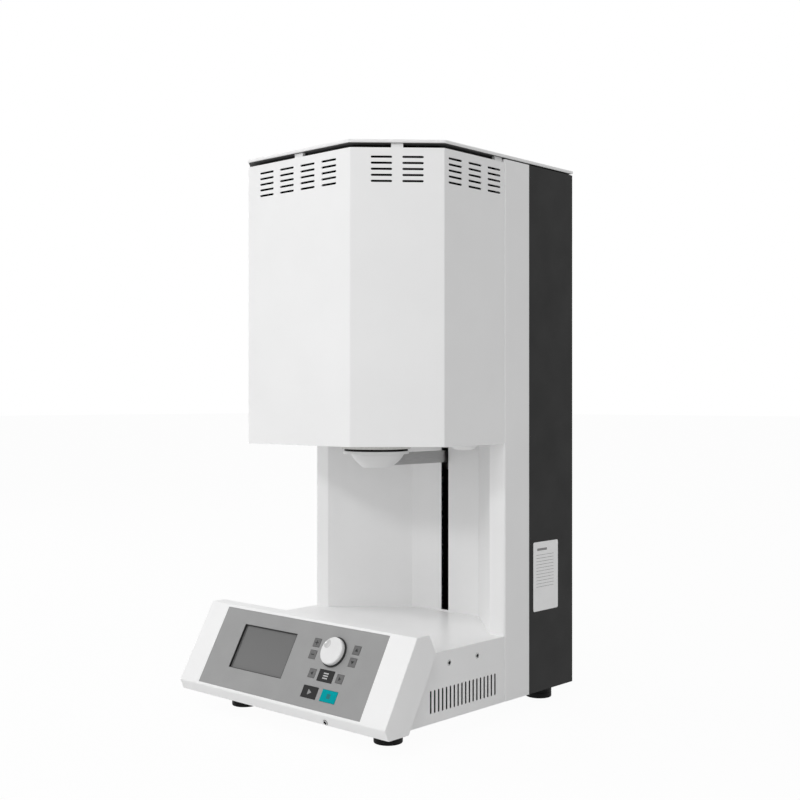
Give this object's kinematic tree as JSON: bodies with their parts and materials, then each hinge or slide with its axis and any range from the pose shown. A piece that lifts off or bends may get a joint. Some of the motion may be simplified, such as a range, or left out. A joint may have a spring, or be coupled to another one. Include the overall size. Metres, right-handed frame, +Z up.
{
  "type": "bottom-loading dental furnace",
  "caption": "Dental lab furnace: octagonal heating head on an alcove column, a lift arm that raises the firing plug into it, and a sloping console with a screen, knob and keys.",
  "frame": {"origin": "middle of the footprint at table height, under the feet", "axes": "+Z up, +X to the right as seen from the front, -Y to the front with the console"},
  "size_m": [0.41, 0.425, 0.789],
  "materials": {
    "white_enamel": "satin powder coat",
    "dark_enamel": "satin powder coat",
    "zinc_steel": "zinc plated",
    "pan_enamel": "satin",
    "dark_steel": "blackened",
    "bright_steel": "ground",
    "fibre": "matt ceramic fibre",
    "element": "matt",
    "ceramic": "matt",
    "rubber_black": "matt",
    "plastic_black": "matt",
    "plastic_white": "satin",
    "overlay": "fine matt",
    "screen": "glossy",
    "key_grey": "matt",
    "key_dark": "matt",
    "key_teal": "matt",
    "switch_red": "glossy",
    "board": "solder resist",
    "aluminium": "machined",
    "motor_case": "painted",
    "core_iron": "varnished",
    "copper": "varnished wire",
    "bronze": "machined"
  },
  "bodies": {
    "furnace": {"head_shell": "white_enamel", "head_floor": "white_enamel", "floor_caps": "white_enamel", "mouth_ring": "fibre", "chamber_floor": "fibre", "chamber_wall": "fibre", "chamber_roof": "fibre", "chamber_casing": "zinc_steel", "heating_elements": "element", "element_holders": "ceramic", "thermocouple": "ceramic", "top_plate": "white_enamel", "plate_standoffs": "white_enamel", "column_liner": "white_enamel", "rear_housing": "dark_enamel", "rear_panel": "dark_enamel", "base_shell": "white_enamel", "base_plate": "zinc_steel", "feet": "rubber_black", "pan_screws": "zinc_steel", "flat_screws": "zinc_steel", "console_housing": "white_enamel", "control_panel": "overlay", "panel_carrier": "plastic_black", "display_bezel": "plastic_black", "display_module": "screen", "key_board": "board", "encoder": "zinc_steel", "guide_rods": "bright_steel", "drive_blocks": "aluminium", "lift_motor": "motor_case", "transformer_core": "core_iron", "transformer_coil": "copper", "power_board": "board", "power_inlet": "plastic_black", "fan_frame": "plastic_black", "fan_guard": "bright_steel"},
    "lift": {"carriage": "aluminium", "lift_nut": "bronze", "carriage_bushes": "bronze", "lift_arm": "bright_steel", "tray_pan": "pan_enamel", "plug_seat": "dark_steel", "firing_plug": "fibre", "firing_tray": "ceramic"},
    "screw": {"lead_screw": "bright_steel", "shaft_coupling": "aluminium"},
    "knob": {"knob": "plastic_white", "knob_skirt": "plastic_black"},
    "mains_switch": {"mains_rocker": "switch_red"},
    "fan": {"fan_rotor": "plastic_black"},
    "key_upper_left": {"key_upper_left": "key_grey"},
    "key_lower_left": {"key_lower_left": "key_grey"},
    "key_upper_right": {"key_upper_right": "key_grey"},
    "key_lower_right": {"key_lower_right": "key_grey"},
    "key_back": {"key_back": "key_grey"},
    "key_next": {"key_next": "key_grey"},
    "key_program": {"key_program": "key_dark"},
    "key_start": {"key_start": "key_dark"},
    "key_stop": {"key_stop": "key_teal"}
  },
  "joints": [
    {"name": "lift_travel", "type": "slide", "parent": "furnace", "child": "lift", "axis": [0, 0, -1], "range_m": [0, 0.225]},
    {"name": "screw_turn", "type": "hinge", "parent": "furnace", "child": "screw", "pos_m": [0, 0.17966, 0.2], "axis": [0, 0, 1], "range_deg": [-10, 10140]},
    {"name": "knob_turn", "type": "hinge", "parent": "furnace", "child": "knob", "pos_m": [0.075, -0.17378, 0.11299], "axis": [0, -0.8704, 0.4924], "continuous": true},
    {"name": "mains_tilt", "type": "hinge", "parent": "furnace", "child": "mains_switch", "pos_m": [0.095, 0.2055, 0.1025], "axis": [0, 0, -1], "range_deg": [0, 16]},
    {"name": "fan_spin", "type": "hinge", "parent": "furnace", "child": "fan", "pos_m": [-0.10108, 0.196, 0.0855], "axis": [0, 1, 0], "continuous": true},
    {"name": "key_upper_left_press", "type": "slide", "parent": "furnace", "child": "key_upper_left", "axis": [0, 0.8704, -0.4924], "range_m": [0, 0.0008], "stiffness_N_per_m": 800, "springref_m": -0.001},
    {"name": "key_lower_left_press", "type": "slide", "parent": "furnace", "child": "key_lower_left", "axis": [0, 0.8704, -0.4924], "range_m": [0, 0.0008], "stiffness_N_per_m": 800, "springref_m": -0.001},
    {"name": "key_upper_right_press", "type": "slide", "parent": "furnace", "child": "key_upper_right", "axis": [0, 0.8704, -0.4924], "range_m": [0, 0.0008], "stiffness_N_per_m": 800, "springref_m": -0.001},
    {"name": "key_lower_right_press", "type": "slide", "parent": "furnace", "child": "key_lower_right", "axis": [0, 0.8704, -0.4924], "range_m": [0, 0.0008], "stiffness_N_per_m": 800, "springref_m": -0.001},
    {"name": "key_back_press", "type": "slide", "parent": "furnace", "child": "key_back", "axis": [0, 0.8704, -0.4924], "range_m": [0, 0.0008], "stiffness_N_per_m": 800, "springref_m": -0.001},
    {"name": "key_next_press", "type": "slide", "parent": "furnace", "child": "key_next", "axis": [0, 0.8704, -0.4924], "range_m": [0, 0.0008], "stiffness_N_per_m": 800, "springref_m": -0.001},
    {"name": "key_program_press", "type": "slide", "parent": "furnace", "child": "key_program", "axis": [0, 0.8704, -0.4924], "range_m": [0, 0.0008], "stiffness_N_per_m": 800, "springref_m": -0.001},
    {"name": "key_start_press", "type": "slide", "parent": "furnace", "child": "key_start", "axis": [0, 0.8704, -0.4924], "range_m": [0, 0.0008], "stiffness_N_per_m": 800, "springref_m": -0.001},
    {"name": "key_stop_press", "type": "slide", "parent": "furnace", "child": "key_stop", "axis": [0, 0.8704, -0.4924], "range_m": [0, 0.0008], "stiffness_N_per_m": 800, "springref_m": -0.001}
  ],
  "couplings": [
    {"joint": "screw_turn", "follows": "lift_travel", "rad_per_m": 785.4}
  ]
}
